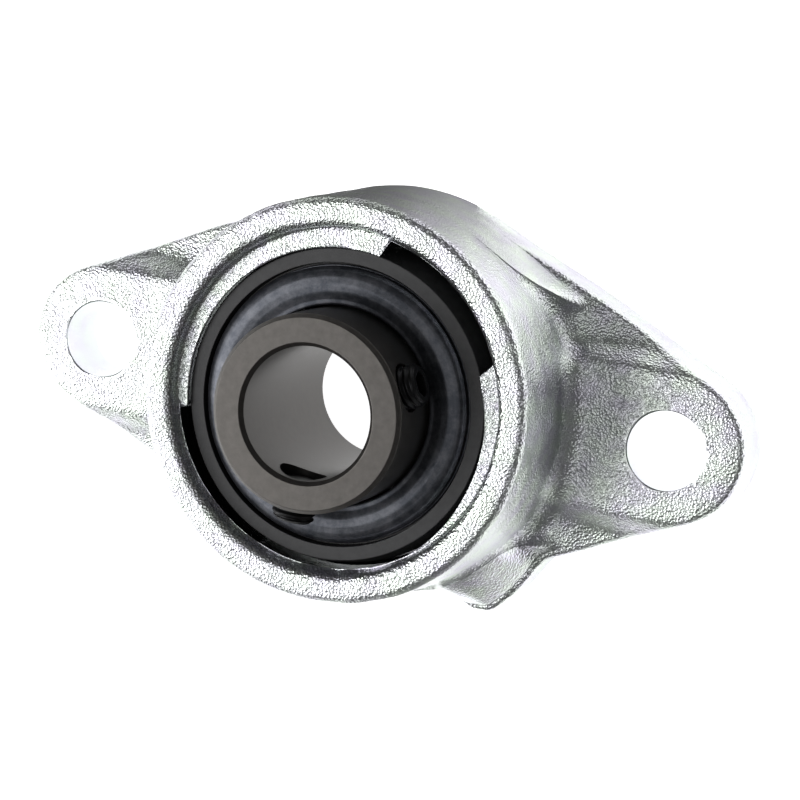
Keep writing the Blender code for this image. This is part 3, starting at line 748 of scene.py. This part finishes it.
def set_screw(name):
    """The screw stood on its point along Z. The rows run over the point, up the thread, over the end face
    and down into the socket. The thread is a triangle wave of height and turn, and the socket's rows follow
    a hexagon."""
    turn = np.arange(96) / 96 * 2 * np.pi
    hexagon = SOCKET_R * np.cos(np.pi / 6) / np.cos((turn + np.pi / 6) % (np.pi / 3) - np.pi / 6)
    z = np.linspace(SCREW_IN, SCREW_OUT, 72)[:, None]
    wave = np.abs(((z / THREAD_PITCH - turn / (2 * np.pi)) % 1.0) * 2 - 1)
    groove = THREAD_DEPTH * np.clip(1.35 * wave - 0.15, 0.0, 1.0)
    bevel = np.clip(SCREW_BEVEL - np.minimum(z - SCREW_IN, SCREW_OUT - z), 0.0, None)
    thread = np.minimum(SCREW_R - groove, SCREW_R - bevel)
    point = np.array([0.8, 1.6, 2.3])[:, None] + 0 * turn
    face = hexagon + (SCREW_R - SCREW_BEVEL - hexagon) * np.array([0.66, 0.33, 0.08])[:, None]
    wall = hexagon * np.ones((3, 1))
    floor_rows = hexagon * np.array([0.97, 0.5])[:, None]
    r = np.concatenate((point, thread, face, wall, floor_rows))
    bottom = SCREW_OUT - SOCKET_DEPTH
    heights = [SCREW_IN] * 3 + list(z[:, 0]) + [SCREW_OUT] * 3
    heights += [SCREW_OUT - 0.05, SCREW_OUT - 1.2, bottom + 0.1, bottom, bottom - 0.4]
    z = np.array(heights)[:, None] + 0 * turn
    points = np.stack((r * np.cos(turn), r * np.sin(turn), z), -1)
    return skin(name, points, poles=((0, 0, SCREW_IN), (0, 0, bottom - 0.7)))


screw_black = dark_steel("screw_black", (0.016, 0.016, 0.017), 0.4, 0.15)
for body, swing in SCREW_SWINGS.items():
    screw = set_screw(body + "_threaded")
    lay_on_radius(screw, swing)
    dress(screw, body, body, screw_black)


# Floor and light: a white table that glows a little, more so close on the far right and less far off, its
# glow painted light; two dark cards with a graded glow, painted light that only the plated sides mirror; two
# soft lamps on the left, one overhead and a dim room round them.
TABLE_HALF = 4
TABLE_DROP = 0.0002            # keeps the table just clear of the housing's back face
floor_mesh = bpy.data.meshes.new("floor")
corners = [(x * TABLE_HALF, y * TABLE_HALF, 0) for x, y in ((-1, -1), (1, -1), (1, 1), (-1, 1))]
floor_mesh.from_pydata(corners, [], [(0, 1, 2, 3)])
floor = bpy.data.objects.new("floor", floor_mesh)
floor.data.transform(Matrix.Translation((0, 0, -TABLE_DROP)))
bpy.context.collection.objects.link(floor)
paint, tree, shader = nodes_of("white_table")
shader.inputs["Base Color"].default_value = (0.9, 0.9, 0.9, 1)
shader.inputs["Roughness"].default_value = 0.8
shader.inputs["Emission Color"].default_value = (1, 1, 1, 1)
# The table's glow is painted light for the plated sides to mirror: a little stronger close by on the far
# right, weaker far off.
place = add_node(tree, "TexCoord").outputs["Object"]
toward = add_node(tree, "VectorMath", {0: place}, operation="DOT_PRODUCT")
toward.inputs[1].default_value = (0.7, 0.7, 0.0)
glow = add_node(tree, "MapRange", {"Value": toward.outputs["Value"]},
                from_min=0.012, from_max=0.06, to_min=1.0, to_max=1.3)
away = add_node(tree, "VectorMath", {0: place}, operation="LENGTH").outputs["Value"]
fading = add_node(tree, "MapRange", {"Value": away}, from_min=0.1, from_max=0.24, to_min=1.0, to_max=0.35)
strength = add_node(tree, "Math", {0: glow.outputs["Result"], 1: fading.outputs["Result"]},
                    operation="MULTIPLY")
tree.links.new(strength.outputs[0], shader.inputs["Emission Strength"])
floor_mesh.materials.append(paint)


CARD_H = 0.0004


def glowing_card(name, low, high, turn_over, left, right):
    """A dark card laid on the table beside the unit, out of the camera's sight, whose glow grades from left
    to right:
    painted light that the casting's sides mirror."""
    (x0, y0), (x1, y1) = low, high
    mesh = bpy.data.meshes.new(name)
    corners = [(x0, y0, CARD_H), (x1, y0, CARD_H), (x1, y1, CARD_H), (x0, y1, CARD_H)]
    mesh.from_pydata(corners, [], [(0, 1, 2, 3)])
    material, tree, shader = nodes_of(name)
    place = add_node(tree, "TexCoord").outputs["Object"]
    across = add_node(tree, "SeparateXYZ", {"Vector": place}).outputs["X"]
    glow = add_node(tree, "MapRange", {"Value": across}, from_min=turn_over[0],
                    from_max=turn_over[1], to_min=left, to_max=right, interpolation_type="SMOOTHSTEP")
    tree.links.new(glow.outputs["Result"], shader.inputs["Emission Strength"])
    shader.inputs["Emission Color"].default_value = (1, 1, 1, 1)
    shader.inputs["Base Color"].default_value = (0.02, 0.02, 0.02, 1)
    mesh.materials.append(material)
    card = bpy.data.objects.new(name, mesh)
    card.visible_camera = False
    bpy.context.collection.objects.link(card)


# Painted light: the card behind the unit glows dim on the left and bright on the right, and the one in front
# glows faintly.
glowing_card("back_glow_card", (-0.060, 0.029), (0.030, 0.120), (-0.012, 0.034), 0.08, 1.15)
glowing_card("front_glow_card", (0.0, -0.400), (0.150, -0.045), (0.0, 0.15), 0.22, 0.32)


def soft_lamp(name, place, aim, size, power):
    """A square soft lamp that faces a point."""
    lamp = bpy.data.objects.new(name, bpy.data.lights.new(name, "AREA"))
    lamp.data.size = size
    lamp.data.energy = power
    lamp.location = place
    lamp.visible_camera = False
    lamp.rotation_euler = (Vector(place) - Vector(aim)).to_track_quat("Z", "Y").to_euler()
    bpy.context.collection.objects.link(lamp)


soft_lamp("left_lamp", (-0.45, -0.1, 0.55), (0, 0, 0), 0.5, 2.8)
soft_lamp("side_lamp", (-0.7, -0.35, 0.42), (0, 0, 0), 0.8, 3.4)
soft_lamp("overhead_lamp", (0.15, 0.0, 1.2), (0, 0, 0), 0.8, 2.0)
room = bpy.data.worlds.new("room")
room.use_nodes = True
room.node_tree.nodes["Background"].inputs["Color"].default_value = (0.09, 0.09, 0.09, 1)
bpy.context.scene.world = room
bpy.context.scene.view_settings.view_transform = "Standard"
